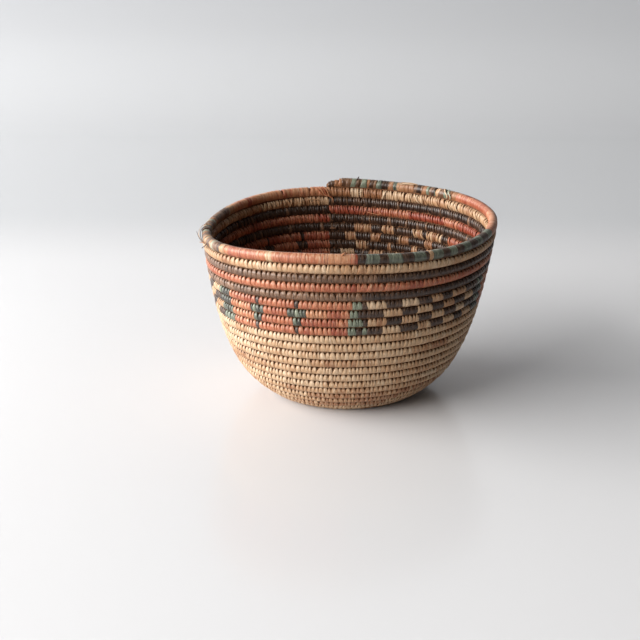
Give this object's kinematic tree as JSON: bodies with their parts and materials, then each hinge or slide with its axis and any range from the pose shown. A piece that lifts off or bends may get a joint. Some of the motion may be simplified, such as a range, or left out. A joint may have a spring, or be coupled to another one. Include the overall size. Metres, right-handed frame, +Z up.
{
  "type": "coiled basket",
  "caption": "Open round-sided basket of one spiral coil of grass bound with leaf strips: plain lower wall, dyed bands and panels above.",
  "frame": {"origin": "middle of the underside, on the flat that the basket stands on", "axes": "+Z up out of the mouth; -Y towards the viewer of the picture; the finished end of the coil is at the back, near +Y"},
  "size_m": [0.2632, 0.244, 0.1677],
  "materials": {
    "natural_leaf": "matte",
    "orange_leaf": "matte",
    "brown_leaf": "matte",
    "green_leaf": "matte",
    "grass_bundle": "matte"
  },
  "bodies": {
    "root": {"checker_panel_back_row_1": "brown_leaf", "checker_panel_back_row_2": "brown_leaf", "checker_panel_back_row_3": "brown_leaf", "checker_panel_back_row_4": "brown_leaf", "checker_panel_left_row_1": "brown_leaf", "checker_panel_left_row_2": "brown_leaf", "checker_panel_left_row_3": "brown_leaf", "checker_panel_left_row_4": "brown_leaf", "checker_panel_right_row_1": "brown_leaf", "checker_panel_right_row_2": "brown_leaf", "checker_panel_right_row_3": "brown_leaf", "checker_panel_right_row_4": "brown_leaf", "end_wrap": "brown_leaf", "loose_leaf_end_1": "green_leaf", "loose_leaf_end_2": "green_leaf", "loose_leaf_end_3": "green_leaf", "lower_brown_band": "brown_leaf", "lower_coil": "natural_leaf", "natural_band": "natural_leaf", "orange_band": "orange_leaf", "orange_panel_back_row_1": "orange_leaf", "orange_panel_back_row_2": "orange_leaf", "orange_panel_back_row_3": "orange_leaf", "orange_panel_back_row_4": "orange_leaf", "orange_panel_front_row_1": "orange_leaf", "orange_panel_front_row_2": "orange_leaf", "orange_panel_front_row_3": "orange_leaf", "orange_panel_front_row_4": "orange_leaf", "orange_panel_right_row_1": "orange_leaf", "orange_panel_right_row_2": "orange_leaf", "orange_panel_right_row_3": "orange_leaf", "orange_panel_right_row_4": "orange_leaf", "rim_wrap_01_orange": "orange_leaf", "rim_wrap_02_green": "green_leaf", "rim_wrap_03_brown": "brown_leaf", "rim_wrap_04_green": "green_leaf", "rim_wrap_05_brown": "brown_leaf", "rim_wrap_06_natural": "natural_leaf", "rim_wrap_07_orange": "orange_leaf", "rim_wrap_08_natural": "natural_leaf", "rim_wrap_09_orange": "orange_leaf", "rim_wrap_10_brown": "brown_leaf", "rim_wrap_11_green": "green_leaf", "rim_wrap_12_brown": "brown_leaf", "rim_wrap_13_green": "green_leaf", "rim_wrap_14_natural": "natural_leaf", "rim_wrap_15_green": "green_leaf", "rim_wrap_16_brown": "brown_leaf", "rim_wrap_17_green": "green_leaf", "rim_wrap_18_orange": "orange_leaf", "rim_wrap_19_natural": "natural_leaf", "rim_wrap_20_green": "green_leaf", "rim_wrap_21_brown": "brown_leaf", "rim_wrap_22_green": "green_leaf", "rim_wrap_23_brown": "brown_leaf", "start_knot": "natural_leaf", "upper_brown_band": "brown_leaf", "upper_foundation": "grass_bundle"}
  },
  "joints": []
}
